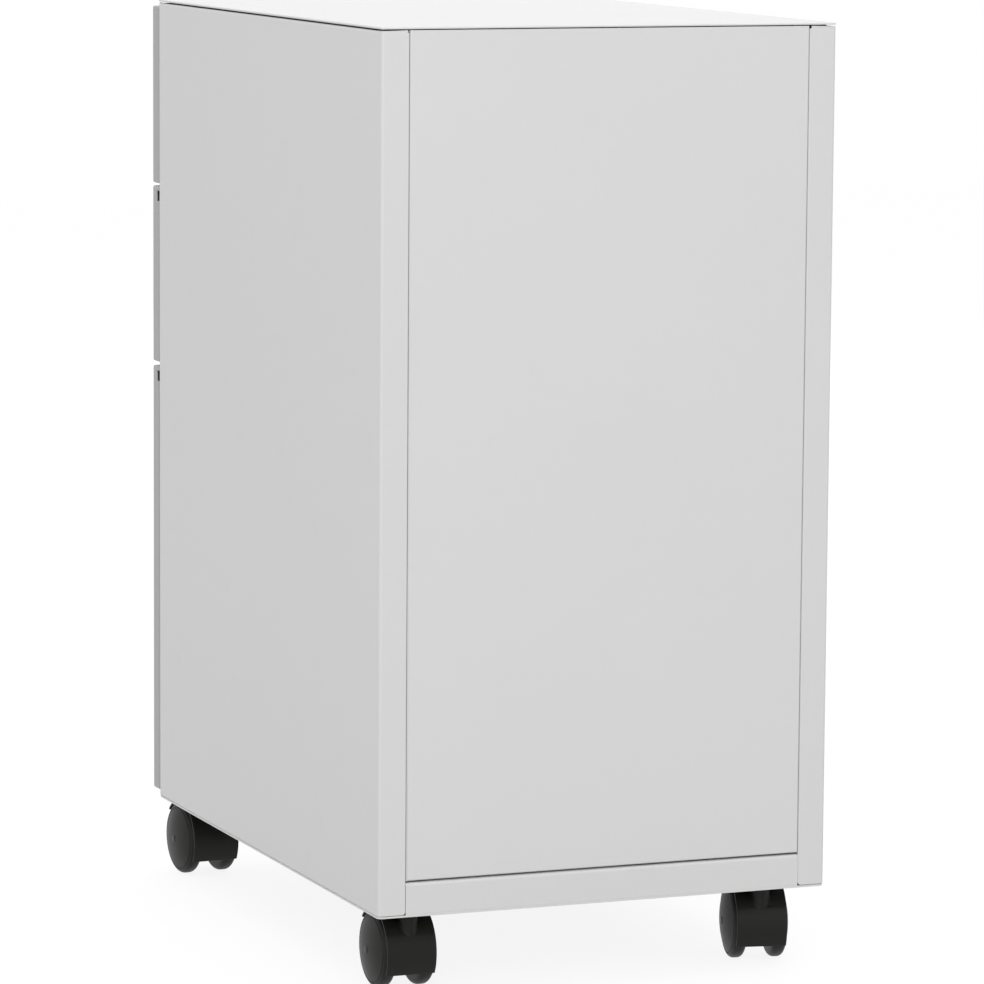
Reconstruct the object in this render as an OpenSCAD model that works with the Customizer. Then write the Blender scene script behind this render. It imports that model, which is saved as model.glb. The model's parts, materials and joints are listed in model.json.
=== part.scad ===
// Slim mobile drawer cabinet in folded sheet steel: two shallow drawers over a
// file drawer, on four hooded twin-wheel castors, with one lock for all drawers.
// Millimetres, +Z up, drawers opening toward -Y. The origin is on the floor,
// under the middle of the cabinet.

/* [Cabinet] */
// Width over the side panels
width = 300; // [290:1:420]
// Depth over the drawer fronts and the lock ring
depth = 440; // [434:1:600]
// Height with the castors
height = 596; // [580:1:720]
// Thickness of the shell and drawer sheet
sheet = 0.8; // [0.7:0.1:1.0]
// Outer radius of the folds in the side panels
fold_r = 2; // [1.6:0.1:2.6]
// Outer radius of the fold along the top of the side panels
top_fold_r = 1.4; // [1.0:0.1:1.6]
// Radius of the bottom sheet's corners, seen from above
pan_corner_r = 3; // [2:0.5:4]
// Thickness of the bottom sheet
bottom_t = 1.2; // [1.0:0.1:1.5]

/* [Rear] */
// Width of the side panels' rear flanges
rear_flange_w = 18; // [16:1:26]
// Depth of the folds behind the rear flanges
rear_fold_d = 10; // [8:0.5:12]
// Width of the legs that back the rear panel
rear_leg_w = 10; // [6:1:14]
// Width of the rear panel's lips on those legs
rear_lip_w = 6; // [4:0.5:8]
// Radius of the rear flanges' lower inner corners
flange_corner_r = 2.5; // [1:0.5:4]
// Seam at each side of the rear panel
rear_seam = 0.3; // [0.2:0.1:0.6]
// Seam at each end of the bottom sheet's rails
rail_seam = 0.1; // [0.1:0.1:0.4]
// Height of the rail below the rear panel
rail_h = 21.3; // [18:0.1:23]
// Gap between the rail and the rear panel
rail_gap = 1.2; // [0.8:0.1:1.6]

/* [Top] */
// Thickness of the top panel's hemmed edge
top_edge_t = 1.2; // [1.1:0.1:1.6]
// Width of the hem
hem_w = 3; // [2:0.5:6]
// Shadow gap between the hem and the side panels
top_gap = 1.0; // [0.6:0.1:1.4]
// Shadow gap between the hem and the rear panel
rear_top_gap = 0.6; // [0.4:0.1:0.9]
// Width of the side panels' top flanges
top_flange_w = 12; // [8:1:16]
// Width of the strips that the top panel rests on
top_seat_w = 4; // [3:0.5:6]

/* [Drawer fronts] */
// Thickness of the folded drawer fronts
front_t = 12; // [11:0.5:14]
// Gap between the closed fronts and the shell
front_gap = 1; // [0.8:0.1:1.4]
// Height of the two upper fronts
upper_front_h = 119; // [112:1:124]
// Distance from the top of the cabinet down to the first front
front_top_inset = 4.5; // [3:0.5:7]
// Distance from the underside of the shell up to the file front
front_bottom_inset = 4.5; // [3:0.5:8]
// Gap between the two upper fronts
upper_gap = 2; // [1.5:0.1:3]
// Gap above the file front
file_gap = 3; // [2:0.1:4]
// Width of the flange folded behind each front
front_flange_w = 30; // [28:1:34]
// Width of the relief slot in the side of a lower front
relief_w = 3.5; // [2:0.5:5]
// Height of the relief slot
relief_h = 7; // [4:0.5:10]
// Distance from the top of a front down to its relief slot
relief_drop = 3; // [2:0.5:6]

/* [Drawer trays] */
// Height of the two upper trays
upper_tray_h = 84; // [80:1:86]
// Distance from an upper front's lower edge up to its tray
upper_tray_raise = 8; // [6:0.5:9]
// Distance from the top of the file front down to its tray's rim
file_tray_drop = 19; // [15:1:24]
// Distance from the file front's lower edge up to its tray
file_tray_raise = 22; // [21:0.5:24]
// Width of the tray's rolled rim
rim_w = 5; // [3:0.5:6]
// Thickness of the rim
rim_t = 1.6; // [1.4:0.1:2]
// Thickness of the bars that hanging files ride on
file_rail_t = 3; // [2:0.5:4]
// Height of the bars
file_rail_h = 12; // [10:1:16]
// Distance from the tray's end walls to the bars
file_rail_inset = 14; // [13:1:20]

/* [Pulls] */
// Width of the recessed pull's cup, inside
pull_w = 100; // [70:1:130]
// Height of the cup, inside
pull_h = 20; // [18:0.5:24]
// Depth of the cup behind the drawer's face, inside
pull_d = 15; // [12:0.5:17]
// Wall of the cup
pull_wall = 1.5; // [1.2:0.1:2]
// Width of the pull's flange around the cup
pull_flange_w = 4.5; // [3:0.5:6]
// Thickness of that flange
pull_flange_t = 0.8; // [0.6:0.1:0.8]
// Distance from the top of a front down to the cup
pull_drop = 36; // [32:0.5:40]
// Room left round a pull's cup in the tray's front wall
cup_room = 6; // [4:0.5:8]

/* [Slides] */
// Distance from the rear of the cabinet to the ends of the slides
slide_end_gap = 17.2; // [15:0.1:60]
// Travel of the drawers
travel = 300; // [200:1:320]
// Thickness of a slide, between the tray and its upright
slide_w = 12.7; // [12.5:0.1:13]
// Height of the cabinet member
slide_h = 35; // [34:0.5:37]
// Thickness of the slide members
member_t = 1.2; // [1.0:0.1:1.3]
// Diameter of the balls
ball_d = 4; // [3.6:0.1:4.2]
// Clearance of the balls in the members and in the cage
ball_gap = 0.3; // [0.2:0.05:0.4]
// Balls in one row
balls_in_row = 6; // [4:1:8]
// Thickness of the ball cage
cage_t = 0.8; // [0.6:0.1:0.9]
// Depth of the uprights that carry the slides
upright_d = 4; // [3.6:0.1:5]
// Width of an upright's raised face
upright_w = 30; // [24:1:40]
// Width of an upright's welding flanges
upright_flange_w = 10; // [8:1:12]
// Distance of each upright from the end of the shell
upright_inset = 61; // [58:1:70]
// Distance from the bottom of an upper tray up to its slides
upper_slide_raise = 24; // [20:1:26]
// Distance from the bottom of the file tray up to its slides
file_slide_raise = 110; // [60:1:150]
// Diameter of the screw heads
screw_head_d = 7; // [6:0.5:8]
// Height of the screw heads
screw_head_h = 1.4; // [1.0:0.1:1.6]
// Diameter of the screws
screw_d = 3.5; // [3:0.1:4]

/* [Lock] */
// Distance from the side of the cabinet to the lock
lock_inset_x = 20; // [19:0.5:20.5]
// Distance from the top of the first front to the lock
lock_drop = 15; // [14:0.5:15]
// Diameter of the lock's barrel
barrel_d = 16; // [15:0.5:17]
// Length of the barrel behind the drawer's face
barrel_len = 17; // [16:0.5:18]
// Diameter of the ring on the barrel
lock_ring_d = 19; // [18:0.5:20]
// Thickness of the ring, which stands proud of the front
lock_ring_t = 0.8; // [0.8:0.1:1.2]
// Diameter of the lock's plug
plug_d = 11; // [10:0.5:12]
// Depth of the dished face of the lock
lock_dish = 0.4; // [0.2:0.1:0.6]
// Width of the keyway
keyway_w = 1.8; // [1.4:0.1:2.4]
// Height of the keyway
keyway_h = 7; // [6:0.5:8]
// Depth of the keyway
keyway_d = 9; // [6:0.5:12]
// Thickness of the cam
cam_t = 1.5; // [1.2:0.1:2]
// Diameter of the pin on the cam
cam_pin_d = 4; // [3:0.5:4.5]
// Travel of the lock bar
lock_travel = 8; // [7.5:0.5:8.5]
// Width of the lock bar
lock_bar_w = 16; // [12:0.5:16]
// Thickness of the lock bar and its hooks
lock_bar_t = 1.5; // [1.2:0.1:1.6]
// Height of the hooks on the bar
hook_h = 10; // [8:0.5:12]
// Diameter of the studs that the hooks catch
stud_d = 6; // [5:0.5:7]
// Distance from a slide up to its drawer's stud
stud_raise = 42; // [38:0.5:44]

/* [Castors] */
// Diameter of the wheels
wheel_d = 48; // [46:0.5:49]
// Half width of the gap between a castor's two wheels
wheel_in = 8.4; // [7.5:0.1:9]
// Distance from the middle of a castor to the outer edge of its treads
wheel_out = 17.5; // [16.5:0.5:20]
// Height of the domes on the outer faces of the wheels
dome_h = 3.5; // [2:0.1:5]
// Radius of the treads' rounded edges
tread_round = 3.5; // [2.5:0.5:4]
// Distance from the floor to the underside of the shell
castor_h = 53; // [52.5:0.1:55]
// Distance from the swivel to the axle
trail = 18; // [16:0.5:20]
// Wall of the hood
hood_t = 1.5; // [1.2:0.1:1.8]
// How much narrower the hood is than the treads, at each side
hood_inset_x = 1.3; // [1:0.1:2]
// Clearance between the wheels and the hood
hood_gap = 1; // [0.8:0.1:1.2]
// Height of the hood's lower edge above the floor
hood_lift = 11; // [8:0.5:12]
// Diameter of the hood's neck round the stem
neck_d = 12; // [11:0.5:16]
// Diameter of the stem inside the hood
stem_d = 7; // [6:0.5:8]
// Length of the stem inside the hood
stem_len = 16; // [12:0.5:18]
// Diameter of the stem's thread
thread_d = 8; // [6:0.5:8]
// Diameter of the stem's flange
stem_flange_d = 20; // [18:1:24]
// Diameter of the axle
axle_d = 6; // [5:0.5:7]
// Distance of the swivels from the side panels' outer faces
castor_inset_x = 30.5; // [28:0.5:34]
// Distance of the front swivels from the front of the shell
front_castor_inset = 21.5; // [21.5:0.5:44]
// Distance of the rear swivels from the rear of the shell
rear_castor_inset = 29; // [28:0.5:44]
// Angle that the front right castor is turned by, in degrees
front_right_angle = 4; // [-17:1:17]
// Angle that the rear left castor is turned by, in degrees
rear_left_angle = -12; // [-17:1:17]

/* [Counterweight] */
// Distance from each side of the cabinet to the weight that keeps it from tipping
weight_inset = 50; // [47:1:75]
// Depth of the weight
weight_d = 110; // [80:1:130]
// Height of the weight
weight_h = 20; // [15:1:22]

/* [Hidden] */
// Small working clearance between parts that move on each other
run_gap = 0.3;
// Clearance of a pin in its bearing
pin_gap = 0.1;
// How far a cutter reaches past the face that it cuts
over = 1;
curve_fn = 64;

half_w = width / 2;
// How far the front castors' wheels reach in front of the drawer fronts, as they are turned
castor_reach = (trail + wheel_d / 2) * cos(front_right_angle)
    + (wheel_out - tread_round) * abs(sin(front_right_angle));
overhang = max(0, castor_reach - front_castor_inset - front_gap - front_t - lock_ring_t);
// The origin is under the middle of the whole, so the cabinet stands back by half of that
rear_y = depth / 2 + overhang / 2;
face_y = -depth / 2 + lock_ring_t + overhang / 2;
front_back_y = face_y + front_t;
shell_y = front_back_y + front_gap;
skin_x = half_w - sheet;
side_bottom_z = castor_h + bottom_t;
side_top_z = height - top_edge_t - top_gap;
rail_top_z = castor_h + rail_h;
flange_x = half_w - rear_flange_w;

return_w = 8.5;
return_d = 8;
front_rail_d = 11;
return_x = half_w - return_w;
rear_leg_y = rear_y - rear_fold_d;

upright_x = skin_x - upright_d;
tray_x = upright_x - slide_w;
slide_y = shell_y + return_d + 1;
slide_end_y = rear_y - slide_end_gap;
slide_len = slide_end_y - slide_y;
upright_ys = [shell_y + upright_inset, rear_y - upright_inset];

front_top_z = [
    height - front_top_inset,
    height - front_top_inset - upper_front_h - upper_gap,
    height - front_top_inset - 2 * upper_front_h - upper_gap - file_gap,
];
file_front_h = front_top_z[2] - castor_h - front_bottom_inset;
file_tray_h = file_front_h - file_tray_raise - file_tray_drop;
front_h = [upper_front_h, upper_front_h, file_front_h];
tray_h = [upper_tray_h, upper_tray_h, file_tray_h];
tray_raise = [upper_tray_raise, upper_tray_raise, file_tray_raise];
slide_raise = [upper_slide_raise, upper_slide_raise, file_slide_raise];
tray_z = [for (i = [0:2]) front_top_z[i] - front_h[i] + tray_raise[i]];
slide_z = [for (i = [0:2]) tray_z[i] + slide_raise[i]];
stud_z = [for (i = [0:2]) slide_z[i] + stud_raise];
pull_z = [for (i = [0:2]) front_top_z[i] - pull_drop - pull_h / 2];

member_in_h = slide_h - 2 * member_t - 2 * (ball_d + 2 * ball_gap);
ball_x = tray_x + 5;
ball_z = member_in_h / 2 + ball_gap + ball_d / 2;
member_lip = 7.1;
outer_lip = 9.7;
cage_spare = 4;
cage_len = slide_len - travel - cage_spare;
cage_y = slide_y + travel / 2 + cage_spare / 2;
cage_x = tray_x + member_lip + 1.2;

lock_x = half_w - lock_inset_x;
lock_z = front_top_z[0] - lock_drop;
barrel_end_y = face_y + barrel_len;
cam_r = lock_travel / (2 * sin(45));
bar_x = skin_x - 1.7 - lock_bar_t;
bar_y = slide_y + 2;
hook_y = bar_y;
stud_y = hook_y + lock_bar_t + 3 + stud_d / 2;
hook_x = tray_x + 4.5;
upper_guide_drop = 45;
lower_guide_drop = 60;
bar_guide_zs = [slide_z[0] - upper_guide_drop, slide_z[1] - lower_guide_drop];

wheel_r = wheel_d / 2;
hood_in_r = wheel_r + hood_gap;
hood_r = hood_in_r + hood_t;
neck_top_z = castor_h - 1 - run_gap;
stem_low_z = castor_h - 1 - stem_len;
castor_x = half_w - castor_inset_x;
front_castor_y = shell_y + front_castor_inset;
rear_castor_y = rear_y - rear_castor_inset;
// Where each castor stands, and how far it is turned
castor_places = [
    [-castor_x, front_castor_y, 0],
    [castor_x, front_castor_y, front_right_angle],
    [-castor_x, rear_castor_y, rear_left_angle],
    [castor_x, rear_castor_y, 0],
];

function unit(v) = v / norm(v);

// A box given by its two opposite corners
module block(low, high) {
    translate(low) cube(high - low);
}

// Both halves of a pair, mirrored across the middle of the cabinet
module pair() {
    children();
    mirror([1, 0, 0]) children();
}

// A strip of sheet folded square along a centre line, in the plane
module folded(points, t, r) {
    last = len(points) - 1;
    for (i = [0 : last - 1]) {
        d = unit(points[i + 1] - points[i]);
        a = points[i] + (i > 0 ? r : 0) * d;
        b = points[i + 1] - (i + 1 < last ? r : 0) * d;
        n = [-d[1], d[0]] * t / 2;
        polygon([a - n, b - n, b + n, a + n]);
    }
    for (i = [1 : last - 1]) {
        d_in = unit(points[i] - points[i - 1]);
        d_out = unit(points[i + 1] - points[i]);
        reach = 2 * (r + t);
        translate(points[i] - r * d_in + r * d_out)
            intersection() {
                difference() {
                    circle(r = r + t / 2, $fn = curve_fn);
                    circle(r = r - t / 2, $fn = curve_fn);
                }
                polygon([[0, 0], d_in * reach, (d_in - d_out) * reach, -d_out * reach]);
            }
    }
}

// Extrudes a profile drawn in X and Z along Y, from y0 to y1
module along_y(y0, y1) {
    translate([0, y1, 0]) rotate([90, 0, 0]) linear_extrude(y1 - y0) children();
}

// Extrudes a profile drawn in Y and Z along X, from x0 to x1
module along_x(x0, x1) {
    translate([x0, 0, 0]) rotate([90, 0, 90]) linear_extrude(x1 - x0) children();
}

// A round bar along Y, from y0 to y1, at a place in X and Z
module bar_y_at(x, z, y0, y1, d) {
    translate([x, y1, z]) rotate([90, 0, 0]) cylinder(d = d, h = y1 - y0, $fn = curve_fn);
}

// A round bar along X, from x0 to x1, at a place in Y and Z
module bar_x_at(y, z, x0, x1, d) {
    translate([x0, y, z]) rotate([0, 90, 0]) cylinder(d = d, h = x1 - x0, $fn = curve_fn);
}

/* ---- shell ---- */

// The side at +X: front return, skin, rear flange and the leg behind the rear panel
module side_panel() {
    mid = sheet / 2;
    relief = 1.2;
    corner_x = flange_x + flange_corner_r;
    corner_z = side_bottom_z + flange_corner_r;
    difference() {
        union() {
            translate([0, 0, side_bottom_z])
                linear_extrude(side_top_z - side_bottom_z)
                    folded([
                        [return_x + mid, shell_y + return_d],
                        [return_x + mid, shell_y + mid],
                        [half_w - mid, shell_y + mid],
                        [half_w - mid, rear_y - mid],
                        [flange_x + mid, rear_y - mid],
                        [flange_x + mid, rear_leg_y - mid],
                        [flange_x - rear_leg_w, rear_leg_y - mid],
                    ], sheet, fold_r - mid);
            block([skin_x - top_flange_w, shell_y + front_rail_d + 1, side_top_z - sheet],
                  [skin_x + mid, rear_leg_y - sheet, side_top_z]);
        }
        block([flange_x - over, rear_y - 2 * sheet, side_top_z - relief],
              [flange_x + relief, rear_y + over, side_top_z + over]);
        difference() {
            block([flange_x - over, rear_y - 2 * sheet, side_bottom_z - over],
                  [corner_x, rear_y + over, corner_z]);
            bar_y_at(corner_x, corner_z, rear_y - 3 * sheet, rear_y + 2 * over, 2 * flange_corner_r);
        }
        difference() {
            block([half_w - top_fold_r, shell_y - over, side_top_z - top_fold_r],
                  [half_w + over, rear_y + over, side_top_z + over]);
            bar_y_at(half_w - top_fold_r, side_top_z - top_fold_r, shell_y - 2 * over,
                     rear_y + 2 * over, 2 * top_fold_r);
        }
    }
}

module side_panel_right() color("#d2d1cd") side_panel();
module side_panel_left() color("#d2d1cd") mirror([1, 0, 0]) side_panel();

// The top sheet with its hemmed edge, on two strips that seat on the side flanges
module top_panel() {
    hem_z = height - top_edge_t;
    seat_x = skin_x - top_flange_w / 2;
    color("#f2f1ee") {
        difference() {
            block([-half_w, shell_y, hem_z], [half_w, rear_y, height]);
            block([-half_w + hem_w, shell_y + hem_w, hem_z - over],
                  [half_w - hem_w, rear_y - hem_w, height - sheet]);
        }
        pair()
            block([seat_x - top_seat_w / 2, slide_y + 2, side_top_z],
                  [seat_x + top_seat_w / 2, rear_leg_y - 4, height - sheet]);
    }
}

// The rear panel, folded at both sides into lips that lie on the legs of the side panels
module rear_panel() {
    mid = sheet / 2;
    edge_x = flange_x - rear_seam - mid;
    bottom_z = rail_top_z + rail_gap;
    top_z = height - top_edge_t - rear_top_gap;
    color("#d6d6d3")
        translate([0, 0, bottom_z])
            linear_extrude(top_z - bottom_z)
                folded([
                    [-edge_x + rear_lip_w, rear_leg_y + mid],
                    [-edge_x, rear_leg_y + mid],
                    [-edge_x, rear_y - mid],
                    [edge_x, rear_y - mid],
                    [edge_x, rear_leg_y + mid],
                    [edge_x - rear_lip_w, rear_leg_y + mid],
                ], sheet, 1);
}

// The bottom sheet under the side panels, with its front and rear rails
module bottom_pan() {
    mid = bottom_t / 2;
    lip = rear_fold_d - 1.5;
    bore_d = thread_d + 2 * pin_gap;
    color("#cfcecb")
        difference() {
            union() {
                block([-half_w, shell_y, castor_h], [half_w, rear_y, side_bottom_z]);
                along_x(-flange_x + rail_seam, flange_x - rail_seam)
                    folded([
                        [rear_y - 2 * lip, castor_h + mid],
                        [rear_y - mid, castor_h + mid],
                        [rear_y - mid, rail_top_z - mid],
                        [rear_y - lip, rail_top_z - mid],
                    ], bottom_t, 1.4);
                along_x(-return_x + rail_seam, return_x - rail_seam)
                    folded([
                        [shell_y + 2 * lip, castor_h + mid],
                        [shell_y + mid, castor_h + mid],
                        [shell_y + mid, rail_top_z - mid],
                        [shell_y + lip, rail_top_z - mid],
                    ], bottom_t, 1.4);
            }
            at_castors()
                translate([0, 0, castor_h - over])
                    cylinder(d = bore_d, h = bottom_t + 2 * over, $fn = curve_fn);
            pair() {
                pan_corner(half_w - pan_corner_r, shell_y + pan_corner_r, -1);
                pan_corner(half_w - pan_corner_r, rear_y - pan_corner_r, 1);
            }
        }
}

// What is cut off a corner of the bottom sheet, round a centre, toward the front or the rear
module pan_corner(x, y, to) {
    far = pan_corner_r + over;
    difference() {
        block([x, min(y, y + to * far), castor_h - over], [x + far, max(y, y + to * far), side_bottom_z]);
        translate([x, y, castor_h - 2 * over])
            cylinder(r = pan_corner_r, h = bottom_t + 4 * over, $fn = curve_fn);
    }
}

// The channel behind the first drawer front, cut away round the lock
module front_rail() {
    mid = sheet / 2;
    rail_low_z = lock_z - 4.5;
    lock_room = 13;
    color("#cfcecb")
        difference() {
            along_x(-return_x, return_x)
                folded([
                    [shell_y + front_rail_d, side_top_z - mid],
                    [shell_y + mid, side_top_z - mid],
                    [shell_y + mid, rail_low_z + mid],
                    [shell_y + front_rail_d, rail_low_z + mid],
                ], sheet, 1.2);
            block([lock_x - lock_room, shell_y - over, rail_low_z - over],
                  [return_x + over, shell_y + front_rail_d + over, lock_z + lock_room]);
        }
}

// The four channels inside the side panels that carry the slides
module slide_uprights() {
    mid = sheet / 2;
    color("#c9c8c4")
        pair()
            for (y = upright_ys)
                translate([0, y, side_bottom_z + 4])
                    linear_extrude(side_top_z - side_bottom_z - 10)
                        folded([
                            [skin_x - mid, -upright_w / 2 - upright_flange_w],
                            [skin_x - mid, -upright_w / 2],
                            [upright_x + mid, -upright_w / 2],
                            [upright_x + mid, upright_w / 2],
                            [skin_x - mid, upright_w / 2],
                            [skin_x - mid, upright_w / 2 + upright_flange_w],
                        ], sheet, 1.2);
}

// The steel block on the bottom sheet, at the rear
module counterweight() {
    end_y = rear_leg_y - sheet - 1;
    color("#3a3a3a")
        block([-half_w + weight_inset, end_y - weight_d, side_bottom_z],
              [half_w - weight_inset, end_y, side_bottom_z + weight_h]);
}

// Rubber buttons on the front returns, two behind each drawer front
module drawer_bumpers() {
    button_d = 6;
    x = half_w - return_w / 2;
    color("#222222")
        pair()
            for (i = [0:2])
                bar_y_at(x, tray_z[i] + tray_h[i] / 2,
                         shell_y - front_gap + 0.2, shell_y, button_d);
}

/* ---- slides ---- */

// A cabinet member at +X: an open channel whose web stands on the uprights
module cabinet_member(z) {
    mid = member_t / 2;
    edge_x = upright_x - outer_lip;
    difference() {
        along_y(slide_y, slide_end_y)
            folded([
                [edge_x, z + slide_h / 2 - mid],
                [upright_x - mid, z + slide_h / 2 - mid],
                [upright_x - mid, z - slide_h / 2 + mid],
                [edge_x, z - slide_h / 2 + mid],
            ], member_t, 1.6);
        for (y = upright_ys)
            bar_x_at(y, z, upright_x - 2 * member_t, upright_x + over, screw_d);
    }
}

module cabinet_slides(i) color("#b9bcbd") pair() cabinet_member(slide_z[i]);

// The screws that hold the cabinet members to the uprights
module slide_screws() {
    color("#9a9c9e")
        pair()
            for (z = slide_z, y = upright_ys) {
                bar_x_at(y, z, upright_x - member_t - screw_head_h, upright_x - member_t,
                         screw_head_d);
                bar_x_at(y, z, upright_x - member_t, upright_x, screw_d);
            }
}

// A drawer member at +X: a smaller channel whose web lies on the tray
module drawer_member(z) {
    mid = member_t / 2;
    difference() {
        along_y(slide_y, slide_end_y)
            folded([
                [tray_x + member_lip, z + member_in_h / 2 - mid],
                [tray_x + mid, z + member_in_h / 2 - mid],
                [tray_x + mid, z - member_in_h / 2 + mid],
                [tray_x + member_lip, z - member_in_h / 2 + mid],
            ], member_t, 1.4);
        for (y = upright_ys)
            bar_x_at(y, z, tray_x - over, tray_x + 2 * member_t, screw_d);
    }
}

module drawer_slides(i) color("#c3c6c7") pair() drawer_member(slide_z[i]);

function ball_ys() =
    let (pitch = cage_len / balls_in_row)
    [for (k = [0 : balls_in_row - 1]) cage_y + (k + 0.5) * pitch];

// The pressed strips that keep the balls apart, one in each slide
module ball_cages(i) {
    color("#8e9294")
        pair()
            difference() {
                along_y(cage_y, cage_y + cage_len)
                    folded([
                        [tray_x + 2, slide_z[i] + ball_z],
                        [cage_x, slide_z[i] + ball_z],
                        [cage_x, slide_z[i] - ball_z],
                        [tray_x + 2, slide_z[i] - ball_z],
                    ], cage_t, 0.8);
                for (y = ball_ys(), side = [-1, 1])
                    translate([ball_x, y, slide_z[i] + side * ball_z - cage_t])
                        cylinder(d = ball_d + 2 * ball_gap, h = 2 * cage_t, $fn = curve_fn);
            }
}

module balls(i) {
    color("#dfe2e4")
        pair()
            for (y = ball_ys(), side = [-1, 1])
                translate([ball_x, y, slide_z[i] + side * ball_z])
                    sphere(d = ball_d, $fn = 32);
}

/* ---- drawers ---- */

// A drawer front: a shallow folded pan, open behind, with a cut-out for its pull
module drawer_front(i) {
    low_z = front_top_z[i] - front_h[i];
    top_z = front_top_z[i];
    color("#a7a6a2")
        difference() {
            block([-half_w, face_y, low_z], [half_w, front_back_y, top_z]);
            block([-skin_x, face_y + sheet, low_z + sheet],
                  [skin_x, front_back_y - sheet, top_z - sheet]);
            block([-half_w + front_flange_w, front_back_y - 2 * sheet, low_z + front_flange_w],
                  [half_w - front_flange_w, front_back_y + over, top_z - front_flange_w]);
            pull_room(i);
            if (i == 0) bar_y_at(lock_x, lock_z, face_y - over, front_back_y + over,
                                 barrel_d + 2 * pin_gap);
            if (i > 0) pair()
                block([skin_x - 2 * sheet, front_back_y - relief_w, top_z - relief_drop - relief_h],
                      [half_w + over, front_back_y + over, top_z - relief_drop]);
            front_screws(i, front_back_y - 2 * sheet, front_back_y + over, screw_d);
        }
}

// The room that a pull's cup takes in the front
module pull_room(i) {
    hw = pull_w / 2 + pull_wall + pin_gap;
    hh = pull_h / 2 + pull_wall + pin_gap;
    block([-hw, face_y - over, pull_z[i] - hh],
          [hw, face_y + pull_d + pull_wall + over, pull_z[i] + hh]);
}

// The notch in a tray's front wall, open at the rim, that the pull's cup stands in
module cup_notch(i) {
    hw = pull_w / 2 + pull_wall + cup_room;
    block([-hw, front_back_y - over, pull_z[i] - pull_h / 2 - pull_wall - cup_room],
          [hw, front_back_y + 2 * sheet, tray_z[i] + tray_h[i] + over]);
}

// The four bars along Y where a tray is screwed to its front, from y0 to y1
module front_screws(i, y0, y1, d) {
    pair()
        for (z = [tray_z[i] + 10, tray_z[i] + tray_h[i] - 12])
            bar_y_at(tray_x - 6, z, y0, y1, d);
}

// A tray: floor, four walls and a rolled rim along both sides
module drawer_tray(i) {
    low_z = tray_z[i];
    top_z = tray_z[i] + tray_h[i];
    in_x = tray_x - sheet;
    color("#cfcecb")
        difference() {
            union() {
                difference() {
                    block([-tray_x, front_back_y, low_z], [tray_x, slide_end_y, top_z]);
                    block([-in_x, front_back_y + sheet, low_z + sheet],
                          [in_x, slide_end_y - sheet, top_z + over]);
                }
                pair()
                    block([tray_x - rim_w, front_back_y + sheet / 2, top_z - rim_t],
                          [in_x + sheet / 2, slide_end_y - sheet / 2, top_z]);
            }
            cup_notch(i);
            front_screws(i, front_back_y - over, front_back_y + 2 * sheet, screw_d);
            pair()
                for (y = upright_ys)
                    bar_x_at(y, slide_z[i], in_x - over, tray_x + over, screw_d);
            bar_x_at(stud_y, stud_z[i], in_x - over, tray_x + over, screw_d);
        }
}

// A moulded pull: a cup let into the front, with a flange round its mouth
module drawer_pull(i) {
    hw = pull_w / 2 + pull_wall;
    hh = pull_h / 2 + pull_wall;
    color("#232325")
        difference() {
            union() {
                block([-hw, face_y - pull_flange_t / 2, pull_z[i] - hh],
                      [hw, face_y + pull_d + pull_wall, pull_z[i] + hh]);
                block([-hw - pull_flange_w, face_y - pull_flange_t, pull_z[i] - hh - pull_flange_w],
                      [hw + pull_flange_w, face_y, pull_z[i] + hh + pull_flange_w]);
            }
            block([-pull_w / 2, face_y - over, pull_z[i] - pull_h / 2],
                  [pull_w / 2, face_y + pull_d, pull_z[i] + pull_h / 2]);
        }
}

// The screws of a drawer, in its front and its slides, and the stud for the lock bar
module drawer_fixings(i) {
    head_y = front_back_y + sheet;
    head_x = tray_x + member_t;
    stud_end_x = return_x - 1;
    color("#9a9c9e") {
        front_screws(i, front_back_y - sheet, head_y, screw_d);
        front_screws(i, head_y, head_y + screw_head_h, screw_head_d);
        pair()
            for (y = upright_ys) {
                bar_x_at(y, slide_z[i], head_x, head_x + screw_head_h, screw_head_d);
                bar_x_at(y, slide_z[i], tray_x - sheet, head_x, screw_d);
            }
        bar_x_at(stud_y, stud_z[i], tray_x - sheet, tray_x, screw_d);
        bar_x_at(stud_y, stud_z[i], tray_x, stud_end_x, stud_d);
    }
}

// Two bars across the file tray for hanging files
module file_rails() {
    in_x = tray_x - sheet;
    top_z = tray_z[2] + tray_h[2] - rim_t;
    front_y = front_back_y + sheet + file_rail_inset;
    end_y = slide_end_y - sheet - file_rail_inset;
    color("#8e9294")
        for (y = [front_y, end_y - file_rail_t])
            block([-in_x, y, top_z - file_rail_h], [in_x, y + file_rail_t, top_z]);
}

/* ---- lock ---- */

// The barrel in the first drawer front, with its ring and its bore for the plug
module lock_barrel() {
    color("#b5b7b8")
        difference() {
            union() {
                bar_y_at(lock_x, lock_z, face_y - lock_ring_t, face_y, lock_ring_d);
                bar_y_at(lock_x, lock_z, face_y, barrel_end_y, barrel_d);
            }
            bar_y_at(lock_x, lock_z, face_y - lock_ring_t - over, barrel_end_y + over,
                     plug_d + 2 * pin_gap);
        }
}

// The hexagon nut that clamps the barrel to the front's skin
module lock_nut() {
    nut_t = 3;
    nut_d = 22;
    nut_y = face_y + sheet;
    color("#9a9c9e")
        difference() {
            translate([lock_x, nut_y + nut_t, lock_z])
                rotate([90, 0, 0]) cylinder(d = nut_d, h = nut_t, $fn = 6);
            bar_y_at(lock_x, lock_z, nut_y - over, nut_y + nut_t + over, barrel_d);
        }
}

// The plug that the key turns
module lock_plug() {
    face = face_y - lock_ring_t + lock_dish;
    color("#c4c5c6")
        difference() {
            bar_y_at(lock_x, lock_z, face, barrel_end_y + run_gap, plug_d);
            block([lock_x - keyway_w / 2, face - over, lock_z - keyway_h / 2],
                  [lock_x + keyway_w / 2, face + keyway_d, lock_z + keyway_h / 2]);
        }
}

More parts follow.
